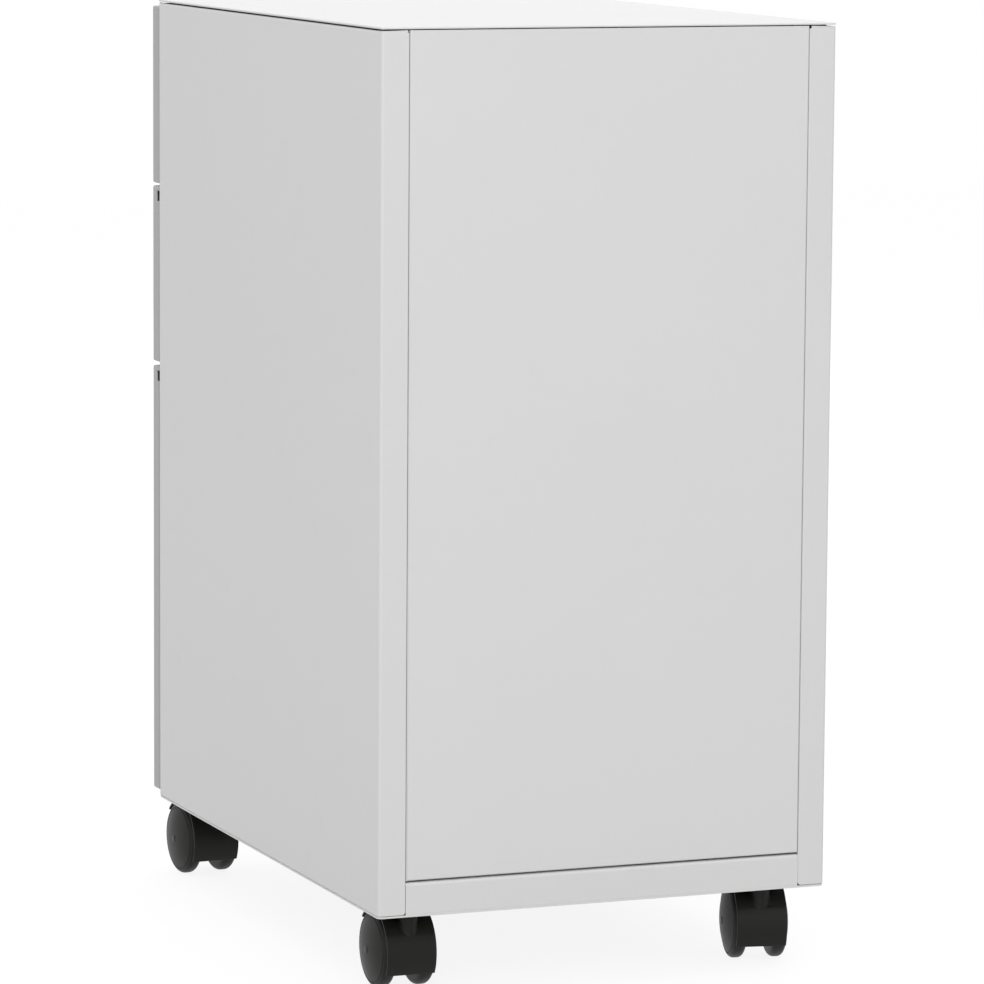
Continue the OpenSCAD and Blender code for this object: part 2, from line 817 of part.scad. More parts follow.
// The cam behind the plug, whose pin reaches through the slot of the lock bar
module lock_cam() {
    cam_y = barrel_end_y + run_gap;
    cam_w = 8;
    pin_end_y = hook_y + lock_bar_t + 2;
    color("#a9abac")
        translate([lock_x, 0, lock_z])
            rotate([0, 45, 0]) {
                along_y(cam_y, cam_y + cam_t)
                    union() {
                        circle(d = cam_w, $fn = curve_fn);
                        translate([0, -cam_w / 2]) square([cam_r, cam_w]);
                        translate([cam_r, 0]) circle(d = cam_w, $fn = curve_fn);
                    }
                bar_y_at(cam_r, 0, cam_y + cam_t, pin_end_y, cam_pin_d);
            }
}

// The bar inside the right side panel: the cam lifts it, and its hooks catch the studs
module lock_bar() {
    rest_drop = 2;
    pin_z = lock_z - lock_travel / 2;
    slot_gap = 0.5;
    slot_h = cam_pin_d + 2 * slot_gap;
    tab_h = slot_h + 5;
    tab_x = lock_x + cam_r * cos(45) - cam_pin_d / 2 - 3.5;
    low_z = stud_z[2] - stud_d / 2 - rest_drop - hook_h - 10;
    color("#aeb1b2")
        difference() {
            union() {
                block([bar_x, bar_y, low_z], [bar_x + lock_bar_t, bar_y + lock_bar_w, pin_z + tab_h / 2]);
                for (z = stud_z)
                    block([hook_x, hook_y, z - stud_d / 2 - rest_drop - hook_h],
                          [bar_x + lock_bar_t, hook_y + lock_bar_t, z - stud_d / 2 - rest_drop]);
                block([tab_x, hook_y, pin_z - tab_h / 2],
                      [bar_x + lock_bar_t, hook_y + lock_bar_t, pin_z + tab_h / 2]);
            }
            block([tab_x + 2, hook_y - over, pin_z - slot_h / 2],
                  [tab_x + 2 + cam_pin_d + 5, hook_y + lock_bar_t + over, pin_z + slot_h / 2]);
        }
}

// The two keepers that the bar slides in
module lock_bar_guides() {
    wall = 1.2;
    guide_h = 15;
    color("#232325")
        for (z = bar_guide_zs)
            difference() {
                block([bar_x - run_gap - wall, bar_y - run_gap - wall, z - guide_h / 2],
                      [skin_x, bar_y + lock_bar_w + run_gap + wall, z + guide_h / 2]);
                block([bar_x - run_gap, bar_y - run_gap, z - guide_h / 2 - over],
                      [bar_x + lock_bar_t + run_gap, bar_y + lock_bar_w + run_gap, z + guide_h / 2 + over]);
            }
}

/* ---- castors ---- */

// Puts its children at one castor's swivel, or at every castor's
module at_castor(i) {
    place = castor_places[i];
    translate([place[0], place[1], 0]) rotate(place[2]) children();
}

module at_castors() {
    for (i = [0:3]) at_castor(i) children();
}

// The stems that the hoods swivel on, with their flanges under the bottom sheet
module castor_stems() {
    color("#1f1f20")
        at_castors() {
            translate([0, 0, stem_low_z]) cylinder(d = stem_d, h = stem_len, $fn = curve_fn);
            translate([0, 0, castor_h - 1]) cylinder(d = stem_flange_d, h = 1, $fn = curve_fn);
            translate([0, 0, castor_h]) cylinder(d = thread_d, h = 12, $fn = curve_fn);
        }
}

// The nuts and washers on the stems, inside the cabinet
module castor_nuts() {
    washer_t = 1.6;
    washer_d = 18;
    nut_h = 6.5;
    nut_d = 15;
    color("#9a9c9e")
        at_castors()
            difference() {
                union() {
                    translate([0, 0, side_bottom_z]) cylinder(d = washer_d, h = washer_t, $fn = curve_fn);
                    translate([0, 0, side_bottom_z + washer_t]) cylinder(d = nut_d, h = nut_h, $fn = 6);
                }
                translate([0, 0, side_bottom_z - over])
                    cylinder(d = thread_d, h = washer_t + nut_h + 2 * over, $fn = curve_fn);
            }
}

// A wedge of the plane about the axle, from one angle to the other
module wedge(a0, a1, r) {
    steps = 6;
    polygon(concat([[0, 0]],
        [for (k = [0 : steps]) let (a = a0 + (a1 - a0) * k / steps) 2 * r * [cos(a), sin(a)]]));
}

// A hood: a fender over both wheels, a web between them and a neck round the stem
module hood() {
    low_angle = -asin((wheel_r - hood_lift) / hood_r);
    back_angle = 140;
    web_x = wheel_in - 0.7;
    bore_d = stem_d + 2 * pin_gap;
    fender_x = wheel_out - hood_inset_x;
    hub_d = 18;
    color("#1f1f20")
        difference() {
            union() {
                translate([0, -trail, wheel_r]) {
                    along_x(-fender_x, fender_x)
                        intersection() {
                            difference() {
                                circle(r = hood_r, $fn = 96);
                                circle(r = hood_in_r, $fn = 96);
                            }
                            wedge(low_angle, back_angle, hood_r);
                        }
                    along_x(-web_x, web_x)
                        union() {
                            circle(d = hub_d, $fn = curve_fn);
                            intersection() {
                                circle(r = hood_in_r + hood_t / 2, $fn = 96);
                                wedge(low_angle, back_angle, hood_r);
                            }
                        }
                }
                difference() {
                    translate([0, 0, wheel_r])
                        cylinder(d = neck_d, h = neck_top_z - wheel_r, $fn = curve_fn);
                    bar_x_at(-trail, wheel_r, -neck_d, neck_d, 2 * hood_in_r);
                }
            }
            translate([0, 0, stem_low_z - run_gap])
                cylinder(d = bore_d, h = castor_h, $fn = curve_fn);
            bar_x_at(-trail, wheel_r, -wheel_in, wheel_in, axle_d);
        }
}

module axle() {
    color("#b9bcbd") bar_x_at(-trail, wheel_r, 0.5 - wheel_out, wheel_out - 0.5, axle_d);
}

// A wheel at +X: a tread, a shoulder and a domed face, blind over the axle's end
module wheel() {
    bore_r = axle_d / 2 + pin_gap;
    bore_end = wheel_out - 0.5 + run_gap;
    face_r = wheel_r - tread_round;
    dome_r = (face_r * face_r + dome_h * dome_h) / (2 * dome_h);
    dome_turn = asin(face_r / dome_r);
    dome_steps = 12;
    round_steps = 4;
    tread_edge = [for (k = [0 : round_steps])
        let (a = 90 * k / round_steps)
        [face_r + tread_round * sin(a), tread_round * (1 - cos(a))]];
    dome = [for (k = [1 : dome_steps])
        let (a = dome_turn * (1 - k / dome_steps))
        [dome_r * sin(a), wheel_out + dome_h - dome_r * (1 - cos(a))]];
    color("#1f1f20")
        translate([0, -trail, wheel_r])
            rotate([0, 90, 0])
                rotate_extrude($fn = 96)
                    polygon(concat(
                        [[bore_r, wheel_in]],
                        [for (k = [0 : round_steps]) [tread_edge[k][0], wheel_in + tread_edge[k][1]]],
                        [for (k = [round_steps : -1 : 0]) [tread_edge[k][0], wheel_out - tread_edge[k][1]]],
                        dome,
                        [[0, bore_end], [bore_r, bore_end]]));
}

/* ---- the whole cabinet ---- */

side_panel_left();
side_panel_right();
top_panel();
rear_panel();
bottom_pan();
front_rail();
slide_uprights();
cabinet_slides(0);  // top_cabinet_slides
cabinet_slides(1);  // middle_cabinet_slides
cabinet_slides(2);  // file_cabinet_slides
slide_screws();
castor_stems();
castor_nuts();
lock_bar_guides();
drawer_bumpers();
counterweight();

drawer_front(0);  // top_drawer_front
drawer_tray(0);  // top_drawer_tray
drawer_pull(0);  // top_drawer_pull
drawer_slides(0);  // top_drawer_slides
drawer_fixings(0);  // top_drawer_fixings
ball_cages(0);  // top_ball_cages
balls(0);  // top_balls

drawer_front(1);  // middle_drawer_front
drawer_tray(1);  // middle_drawer_tray
drawer_pull(1);  // middle_drawer_pull
drawer_slides(1);  // middle_drawer_slides
drawer_fixings(1);  // middle_drawer_fixings
ball_cages(1);  // middle_ball_cages
balls(1);  // middle_balls

drawer_front(2);  // file_drawer_front
drawer_tray(2);  // file_drawer_tray
drawer_pull(2);  // file_drawer_pull
drawer_slides(2);  // file_drawer_slides
drawer_fixings(2);  // file_drawer_fixings
ball_cages(2);  // file_ball_cages
balls(2);  // file_balls
file_rails();

lock_barrel();
lock_nut();
lock_plug();
lock_cam();
lock_bar();

at_castor(0) hood();  // front_left_hood
at_castor(0) axle();  // front_left_axle
at_castor(0) wheel();  // front_left_wheel_a
at_castor(0) mirror([1, 0, 0]) wheel();  // front_left_wheel_b
at_castor(1) hood();  // front_right_hood
at_castor(1) axle();  // front_right_axle
at_castor(1) wheel();  // front_right_wheel_a
at_castor(1) mirror([1, 0, 0]) wheel();  // front_right_wheel_b
at_castor(2) hood();  // rear_left_hood
at_castor(2) axle();  // rear_left_axle
at_castor(2) wheel();  // rear_left_wheel_a
at_castor(2) mirror([1, 0, 0]) wheel();  // rear_left_wheel_b
at_castor(3) hood();  // rear_right_hood
at_castor(3) axle();  // rear_right_axle
at_castor(3) wheel();  // rear_right_wheel_a
at_castor(3) mirror([1, 0, 0]) wheel();  // rear_right_wheel_b
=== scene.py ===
"""Slim mobile drawer cabinet: the visible model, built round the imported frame.

Metres, +Z up, drawers opening toward -Y, origin on the floor under the middle
of the whole box, which the turned front castors lengthen a little.
"""
import json
import math

import bmesh
import bpy
from mathutils import Matrix, Vector


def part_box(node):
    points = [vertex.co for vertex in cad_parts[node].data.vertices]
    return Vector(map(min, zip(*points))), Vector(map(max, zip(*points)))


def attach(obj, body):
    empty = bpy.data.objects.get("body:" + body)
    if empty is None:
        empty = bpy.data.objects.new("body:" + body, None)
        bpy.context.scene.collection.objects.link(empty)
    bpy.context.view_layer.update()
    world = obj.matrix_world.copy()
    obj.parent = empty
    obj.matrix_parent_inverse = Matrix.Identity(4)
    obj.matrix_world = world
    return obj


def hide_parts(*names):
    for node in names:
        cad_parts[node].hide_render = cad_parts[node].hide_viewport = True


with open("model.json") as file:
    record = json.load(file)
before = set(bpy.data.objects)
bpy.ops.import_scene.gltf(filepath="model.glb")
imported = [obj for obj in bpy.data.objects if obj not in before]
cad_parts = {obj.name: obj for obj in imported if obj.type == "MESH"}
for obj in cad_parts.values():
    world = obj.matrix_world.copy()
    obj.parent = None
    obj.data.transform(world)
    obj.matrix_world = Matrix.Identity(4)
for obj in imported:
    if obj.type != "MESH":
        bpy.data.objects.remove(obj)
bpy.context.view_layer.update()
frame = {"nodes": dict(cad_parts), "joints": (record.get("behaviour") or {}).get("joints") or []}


# ---------------------------------------------------------------------------
# Camera. The photograph looks at the back and one side through a long lens,
# from a little above the top panel, and turned by less than half a degree.
# ---------------------------------------------------------------------------
CAMERA_PLACE = Vector((1.2723, 3.2151, 0.7390))
CAMERA_AZIMUTH = math.radians(158.22)
CAMERA_PITCH = math.radians(7.53)
CAMERA_ROLL = math.radians(0.40)
LENS_MM = 195.2
SENSOR_MM = 36.0

look = Vector((
    -math.sin(CAMERA_AZIMUTH) * math.cos(CAMERA_PITCH),
    math.cos(CAMERA_AZIMUTH) * math.cos(CAMERA_PITCH),
    -math.sin(CAMERA_PITCH),
))
level_right = look.cross(Vector((0, 0, 1))).normalized()
level_up = level_right.cross(look)
camera_right = math.cos(CAMERA_ROLL) * level_right + math.sin(CAMERA_ROLL) * level_up
camera_up = math.cos(CAMERA_ROLL) * level_up - math.sin(CAMERA_ROLL) * level_right

camera_data = bpy.data.cameras.new("camera")
camera_data.lens = LENS_MM
camera_data.sensor_width = SENSOR_MM
camera_data.clip_end = 50
camera = bpy.data.objects.new("camera", camera_data)
camera.matrix_world = Matrix.Translation(CAMERA_PLACE) @ Matrix(
    (camera_right, camera_up, -look)).transposed().to_4x4()
bpy.context.scene.collection.objects.link(camera)
bpy.context.scene.camera = camera


# ---------------------------------------------------------------------------
# Studio. A white sweep with soft light from all round, stronger from above, so
# that the top panel is the lightest face and the side is a little darker than
# the back; the top's and the back's slightly lighter paints add painted light to
# this. The floor gives back little light, so the folds underneath darken.
# ---------------------------------------------------------------------------
SKY_ZENITH = 1.00
SKY_HORIZON = 0.785
FLOOR_HALF = 6.0
FLOOR_GREY = 0.50
FLOOR_SHOWN = 0.90
FLOOR_SHARE = 0.86
FLOOR_GLOW = 1.02
LAMP_AIM = Vector((0, 0, 0.3))
SOFTBOXES = {   # place, size and power of each
    "rear_softbox": ((1.5, 3.1, 1.7), 2.2, 44.0),
    "front_softbox": ((-1.5, -3.1, 1.7), 2.2, 44.0),
    "top_softbox": ((0.0, 0.0, 3.2), 2.4, 15.0),
}

bpy.context.scene.view_settings.view_transform = "Standard"


def link(tree, source, target):
    """Joins an output socket to an input socket."""
    tree.links.new(source, target)


def node(tree, kind, **settings):
    """Adds a shader node and sets its plain properties."""
    made = tree.nodes.new(kind)
    for key, value in settings.items():
        setattr(made, key, value)
    return made


def math_node(tree, operation, first, second=None):
    """A Math node whose inputs are sockets or plain numbers; returns its output."""
    made = node(tree, "ShaderNodeMath", operation=operation)
    for socket, value in zip(made.inputs, (first, second)):
        if isinstance(value, bpy.types.NodeSocket):
            link(tree, value, socket)
        elif value is not None:
            socket.default_value = value
    return made.outputs[0]


world = bpy.data.worlds.new("studio")
bpy.context.scene.world = world
world.use_nodes = True
sky = world.node_tree
sky.nodes.clear()
seen_path = node(sky, "ShaderNodeLightPath")
seen = math_node(sky, "MAXIMUM", seen_path.outputs["Is Camera Ray"],
                 math_node(sky, "MAXIMUM", seen_path.outputs["Is Glossy Ray"],
                           seen_path.outputs["Is Transmission Ray"]))
direction = node(sky, "ShaderNodeTexCoord")
split = node(sky, "ShaderNodeSeparateXYZ")
link(sky, direction.outputs["Generated"], split.inputs[0])
climb = node(sky, "ShaderNodeMapRange")
climb.inputs["From Min"].default_value = 0.0
climb.inputs["From Max"].default_value = 1.0
climb.inputs["To Min"].default_value = SKY_HORIZON
climb.inputs["To Max"].default_value = SKY_ZENITH
link(sky, split.outputs["Z"], climb.inputs["Value"])
light_sky = node(sky, "ShaderNodeBackground")
link(sky, climb.outputs[0], light_sky.inputs["Strength"])
white_sky = node(sky, "ShaderNodeBackground")
sky_mix = node(sky, "ShaderNodeMixShader")
link(sky, seen, sky_mix.inputs[0])
link(sky, light_sky.outputs[0], sky_mix.inputs[1])
link(sky, white_sky.outputs[0], sky_mix.inputs[2])
for background in (light_sky, white_sky):
    background.inputs["Color"].default_value = (1, 1, 1, 1)
sky_out = node(sky, "ShaderNodeOutputWorld")
link(sky, sky_mix.outputs[0], sky_out.inputs["Surface"])

for lamp_name, (place, size, power) in SOFTBOXES.items():
    lamp = bpy.data.lights.new(lamp_name, "AREA")
    lamp.shape = "SQUARE"
    lamp.size = size
    lamp.energy = power
    lamp_object = bpy.data.objects.new(lamp_name, lamp)
    aim = LAMP_AIM - Vector(place)
    lamp_object.location = place
    lamp_object.rotation_euler = aim.to_track_quat("-Z", "Y").to_euler()
    # in the photograph's view the front lamp's reflection would bleach the top panel
    lamp_object.visible_glossy = lamp_name == "rear_softbox"
    bpy.context.scene.collection.objects.link(lamp_object)


def new_object(name, mesh):
    """Links a mesh to the scene as an object at the origin."""
    made = bpy.data.objects.new(name, mesh)
    bpy.context.scene.collection.objects.link(made)
    return made


def floor_material():
    """White to the camera, with the cabinet's soft shadow kept, and grey to the cabinet."""
    material = bpy.data.materials.new("floor")
    material.use_nodes = True
    tree = material.node_tree
    tree.nodes.clear()
    path = node(tree, "ShaderNodeLightPath")
    matte = node(tree, "ShaderNodeBsdfDiffuse")
    glow = node(tree, "ShaderNodeEmission")
    glow.inputs["Color"].default_value = (1, 1, 1, 1)
    glow.inputs["Strength"].default_value = FLOOR_GLOW
    shown = math_node(tree, "MAXIMUM", path.outputs["Is Camera Ray"],
                      path.outputs["Is Glossy Ray"])
    paler = math_node(tree, "MULTIPLY", shown, FLOOR_SHOWN - FLOOR_GREY)
    link(tree, math_node(tree, "ADD", paler, FLOOR_GREY), matte.inputs["Color"])
    share = math_node(tree, "MULTIPLY", shown, FLOOR_SHARE)
    mix = node(tree, "ShaderNodeMixShader")
    link(tree, share, mix.inputs[0])
    link(tree, matte.outputs[0], mix.inputs[1])
    link(tree, glow.outputs[0], mix.inputs[2])
    out = node(tree, "ShaderNodeOutputMaterial")
    link(tree, mix.outputs[0], out.inputs["Surface"])
    return material


floor_mesh = bpy.data.meshes.new("floor")
floor_bm = bmesh.new()
bmesh.ops.create_grid(floor_bm, x_segments=1, y_segments=1, size=FLOOR_HALF)
floor_bm.to_mesh(floor_mesh)
floor_bm.free()
floor = new_object("floor", floor_mesh)
floor_mesh.materials.append(floor_material())


# ---------------------------------------------------------------------------
# Side panels. Each is one folded steel sheet with a powder coat: front return,
# skin, rear flange and a leg behind the rear panel. Its top edge is folded over
# as a flange for the top panel, and its foot is spot-welded to the bottom sheet.
# ---------------------------------------------------------------------------
MM = 0.001
SHEET = 0.8 * MM
FOLD_R = 2.0 * MM
SEAM_FOLD_R = 0.8 * MM
TOP_FOLD_R = 1.4 * MM
RETURN_W = 8.5 * MM
RETURN_D = 8.0 * MM
REAR_FLANGE_W = 18 * MM
REAR_FOLD_D = 10 * MM
REAR_LEG_W = 10 * MM
TOP_FLANGE_W = 12 * MM
FRONT_RAIL_D = 12 * MM
CORNER_NOTCH = 1.2 * MM
FLANGE_LIFT = 0.4 * MM
FOOT_SEAM = 0.3 * MM
FLANGE_CORNER_R = 2.5 * MM
SHEET_EDGE_R = 0.15 * MM
TOUCH = 1e-6
CUT_SNAP = 1e-7
SHELL_PAINT = (0.640, 0.640, 0.638)
PAINT_ROUGHNESS = 0.46
PAINT_BUMP = 0.04 * MM
PAINT_SPECULAR = 0.45

side_low, side_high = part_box("side_panel_right")
half_width = side_high[0]
shell_front = side_low[1]
shell_rear = side_high[1]
side_bottom = side_low[2]
side_top = side_high[2]


def group_socket(tree, name, side, kind, default=None):
    """Adds a named input or output to a node group."""
    socket = tree.interface.new_socket(name=name, in_out=side, socket_type=kind)
    if default is not None:
        socket.default_value = default


def noise(tree, place, scale, detail, roughness=0.5):
    """A noise texture of the given scale on the given coordinates."""
    made = node(tree, "ShaderNodeTexNoise")
    made.inputs["Scale"].default_value = scale
    made.inputs["Detail"].default_value = detail
    made.inputs["Roughness"].default_value = roughness
    link(tree, place, made.inputs["Vector"])
    return made.outputs["Fac"]


def between(tree, value, low, high):
    """0 below low, 1 above high, and a ramp between them."""
    ramp = node(tree, "ShaderNodeMapRange")
    ramp.inputs["From Min"].default_value = low
    ramp.inputs["From Max"].default_value = high
    link(tree, value, ramp.inputs["Value"])
    return ramp.outputs[0]


def swing(tree, value, amount):
    """A value about 0.5 made to swing about 0 by the given amount."""
    return math_node(tree, "MULTIPLY", math_node(tree, "SUBTRACT", value, 0.5), amount)


def tinted(tree, colour, tone):
    """A colour made lighter or darker by a factor."""
    shade = node(tree, "ShaderNodeVectorMath", operation="SCALE")
    link(tree, colour, shade.inputs[0])
    link(tree, tone, shade.inputs["Scale"])
    return shade.outputs[0]


def finish_group(name, default_colour, default_roughness):
    """A node group with Color and Roughness in, and Color, Roughness and Height out."""
    tree = bpy.data.node_groups.new(name, "ShaderNodeTree")
    group_socket(tree, "Color", "INPUT", "NodeSocketColor", (*default_colour, 1))
    group_socket(tree, "Roughness", "INPUT", "NodeSocketFloat", default_roughness)
    for output, kind in (("Color", "NodeSocketColor"), ("Roughness", "NodeSocketFloat"),
                         ("Height", "NodeSocketFloat")):
        group_socket(tree, output, "OUTPUT", kind)
    given = node(tree, "NodeGroupInput")
    result = node(tree, "NodeGroupOutput")
    place = node(tree, "ShaderNodeTexCoord").outputs["Object"]
    return tree, given, result, place


def powder_grain_group():
    """Baked powder: fine grain and orange peel, a drift of tone and dull handling marks."""
    tree, given, result, place = finish_group("powder_grain", SHELL_PAINT, PAINT_ROUGHNESS)
    grain = noise(tree, place, 1500, 2)
    peel = noise(tree, place, 330, 2)
    drift = noise(tree, place, 7, 3)
    handled = between(tree, noise(tree, place, 42, 5, 0.7), 0.60, 0.78)
    height = math_node(tree, "ADD", math_node(tree, "MULTIPLY", grain, 0.35),
                       math_node(tree, "MULTIPLY", peel, 0.65))
    rough = math_node(tree, "ADD", given.outputs["Roughness"], swing(tree, grain, 0.10))
    rough = math_node(tree, "ADD", rough, swing(tree, drift, 0.12))
    rough = math_node(tree, "ADD", rough, math_node(tree, "MULTIPLY", handled, 0.10))
    tone = math_node(tree, "ADD", swing(tree, drift, 0.030), swing(tree, grain, 0.030))
    tone = math_node(tree, "SUBTRACT", tone, math_node(tree, "MULTIPLY", handled, 0.012))
    tone = math_node(tree, "ADD", tone, 1.0)
    link(tree, tinted(tree, given.outputs["Color"], tone), result.inputs["Color"])
    link(tree, rough, result.inputs["Roughness"])
    link(tree, height, result.inputs["Height"])
    return tree


powder_grain = powder_grain_group()


def finished(name, group, colour, roughness, bump_depth, metallic=0.0, specular=0.5):
    """A material whose colour, roughness and bump come from one finish group."""
    material = bpy.data.materials.new(name)
    material.use_nodes = True
    tree = material.node_tree
    shader = tree.nodes["Principled BSDF"]
    shader.inputs["Metallic"].default_value = metallic
    shader.inputs["Specular IOR Level"].default_value = specular
    finish = node(tree, "ShaderNodeGroup", node_tree=group)
    finish.inputs["Color"].default_value = (*colour, 1)
    finish.inputs["Roughness"].default_value = roughness
    relief = node(tree, "ShaderNodeBump")
    relief.inputs["Strength"].default_value = 1.0
    relief.inputs["Distance"].default_value = bump_depth
    link(tree, finish.outputs["Color"], shader.inputs["Base Color"])
    link(tree, finish.outputs["Roughness"], shader.inputs["Roughness"])
    link(tree, finish.outputs["Height"], relief.inputs["Height"])
    link(tree, relief.outputs[0], shader.inputs["Normal"])
    return material


shell_paint = finished("shell_paint", powder_grain, SHELL_PAINT, PAINT_ROUGHNESS, PAINT_BUMP,
                       specular=PAINT_SPECULAR)


def face_outward(bm, outside):
    """Makes all faces agree, with the largest one facing outside."""
    bmesh.ops.recalc_face_normals(bm, faces=bm.faces)
    widest = max(bm.faces, key=lambda f: f.calc_area())
    if widest.normal.dot(Vector(outside)) < 0:
        bmesh.ops.reverse_faces(bm, faces=bm.faces)


def rounded(bm, edges, radius, segments=4):
    """Rounds edges to a radius."""
    bmesh.ops.bevel(bm, geom=edges, offset=radius, segments=segments, profile=0.5,
                    affect="EDGES", material=-1)


def pull_out(bm, edges, step):
    """Extrudes edges by a step, and returns the new edges."""
    made = bmesh.ops.extrude_edge_only(bm, edges=edges)["geom"]
    bmesh.ops.translate(bm, verts=[v for v in made if isinstance(v, bmesh.types.BMVert)], vec=step)
    ends = {v for v in made if isinstance(v, bmesh.types.BMVert)}
    return [e for e in made if isinstance(e, bmesh.types.BMEdge) and ends.issuperset(e.verts)]


def folded_sheet(corners, sweep, fold_radii, outside):
    """A sheet's outer face, swept along a vector from a line whose corners are folded."""
    bm = bmesh.new()
    line = [bm.verts.new(c) for c in corners]
    pull_out(bm, [bm.edges.new(ends) for ends in zip(line, line[1:])], sweep)
    for corner, radius in zip(corners[1:-1], fold_radii):
        at_corner = [e for e in bm.edges if len(e.link_faces) == 2
                     and all((v.co.xy - Vector(corner).xy).length < TOUCH for v in e.verts)]
        rounded(bm, at_corner, radius, 6)
    face_outward(bm, outside)
    return bm


def parts_of(faces):
    """Faces with their edges and points."""
    return faces + list({e for f in faces for e in f.edges}) + list({v for f in faces for v in f.verts})


def reaches_into(face, low, high):
    """Whether a face's box meets another box."""
    return all(min(v.co[k] for v in face.verts) < high[k] and max(v.co[k] for v in face.verts) > low[k]
               for k in range(3))


def cut_box(bm, low, high):
    """Cuts a box out of a sheet."""
    for axis in range(3):
        for level in (low[axis], high[axis]):
            point, normal = Vector(), Vector()
            point[axis], normal[axis] = level, 1
            near = [f for f in bm.faces if reaches_into(f, low, high)]
            bmesh.ops.bisect_plane(bm, geom=parts_of(near), dist=CUT_SNAP, plane_co=point, plane_no=normal)
    inside = [f for f in bm.faces
              if all(low[k] < f.calc_center_median()[k] < high[k] for k in range(3))]
    bmesh.ops.delete(bm, geom=inside, context="FACES")


def flat_light(piece):
    """Keeps the light even over flat faces, so that only the rounds between them shade."""
    flat = piece.modifiers.new("flat_faces", "WEIGHTED_NORMAL")
    flat.mode = "FACE_AREA"
    flat.weight = 100
    flat.thresh = 1e-7
    flat.keep_sharp = True


def soft_edges(piece, width, segments=2, limit=40):
    """A small bevel along the hard edges."""
    bevel = piece.modifiers.new("soft_edges", "BEVEL")
    bevel.width = width
    bevel.segments = segments
    bevel.limit_method = "ANGLE"
    bevel.angle_limit = math.radians(limit)
    bevel.use_clamp_overlap = False
    flat_light(piece)


def seat(name, bm, material, body, replaced, thickness=0.0, edge=0.0, smooth_angle=35):
    """Makes a piece of a mesh, gives it its sheet thickness and soft edges, and seats it."""
    mesh = bpy.data.meshes.new(name)
    bm.to_mesh(mesh)
    bm.free()
    mesh.materials.append(material)
    mesh.shade_smooth()
    mesh.set_sharp_from_angle(angle=math.radians(smooth_angle))
    piece = new_object(name, mesh)
    if thickness:
        wall = piece.modifiers.new("sheet", "SOLIDIFY")
        wall.thickness = thickness
        wall.offset = -1
        wall.use_even_offset = True
    if edge:
        soft_edges(piece, edge)
    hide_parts(*replaced)
    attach(piece, body)
    return piece


def side_panel(name, side):
    """A side's sheet, where side is the sign of its X."""
    rear_leg = shell_rear - REAR_FOLD_D
    outline = [
        (half_width - RETURN_W, shell_front + RETURN_D),
        (half_width - RETURN_W, shell_front),
        (half_width, shell_front),
        (half_width, shell_rear),
        (half_width - REAR_FLANGE_W, shell_rear),
        (half_width - REAR_FLANGE_W, rear_leg),
        (half_width - REAR_FLANGE_W - REAR_LEG_W, rear_leg),
    ]
    foot = side_bottom + FOOT_SEAM
    bm = folded_sheet([(side * x, y, foot) for x, y in outline], (0, 0, side_top - foot),
                      (FOLD_R, FOLD_R, FOLD_R, SEAM_FOLD_R, SEAM_FOLD_R), (side, 0, 0))
    for y in (shell_front + FRONT_RAIL_D, rear_leg - SHEET):
        skin = [f for f in bm.faces if abs(abs(f.calc_center_median().x) - half_width) < TOUCH]
        bmesh.ops.bisect_plane(bm, geom=parts_of(skin), dist=CUT_SNAP, plane_co=(0, y, 0), plane_no=(0, 1, 0))
    skin_top = [e for e in bm.edges if all(abs(v.co.z - side_top) < TOUCH
                                           and abs(abs(v.co.x) - half_width) < TOUCH for v in e.verts)]
    fold_w = 1.5 * TOP_FOLD_R
    inner = pull_out(bm, skin_top, (-side * fold_w, 0, 0))
    flange = [e for e in inner if all(shell_front + FRONT_RAIL_D - 1e-5 < v.co.y < rear_leg - SHEET + 1e-5
                                      for v in e.verts)]
    pull_out(bm, flange, (-side * (TOP_FLANGE_W - fold_w), 0, 0))
    rounded(bm, skin_top, TOP_FOLD_R, 5)
    seam_x = half_width - REAR_FLANGE_W
    x0, x1 = sorted((side * (seam_x - 1 * MM), side * (seam_x + CORNER_NOTCH)))
    cut_box(bm, (x0, shell_rear - 2 * SHEET, side_top - CORNER_NOTCH),
            (x1, shell_rear + 1 * MM, side_top + 1 * MM))
    # the rear flange stands a little higher than the side, close under the top's hem
    lifted = [v for v in bm.verts if v.co.y > shell_rear - TOUCH and v.co.z > side_top - TOUCH
              and abs(v.co.x) < half_width - FOLD_R - 1e-5]
    bmesh.ops.translate(bm, verts=lifted, vec=(0, 0, FLANGE_LIFT))
    # the rounded lower corner of the rear flange
    corner = Vector((side * (seam_x + FLANGE_CORNER_R), 0, foot + FLANGE_CORNER_R))
    for turn in range(10, 90, 14):
        away = Vector((-side * math.cos(math.radians(turn)), 0, -math.sin(math.radians(turn))))
        near = [f for f in bm.faces if f.calc_center_median().y > shell_rear - FOLD_R
                and abs(f.calc_center_median().x) < half_width - FOLD_R]
        bmesh.ops.bisect_plane(bm, geom=parts_of(near), dist=CUT_SNAP, clear_outer=True,
                               plane_co=corner + away * FLANGE_CORNER_R, plane_no=away)
    bmesh.ops.remove_doubles(bm, verts=bm.verts, dist=0.14 * MM)
    face_outward(bm, (side, 0, 0))
    seat(name, bm, shell_paint, "carcass", (name,), thickness=SHEET, edge=SHEET_EDGE_R)


side_panel("side_panel_right", 1)
side_panel("side_panel_left", -1)


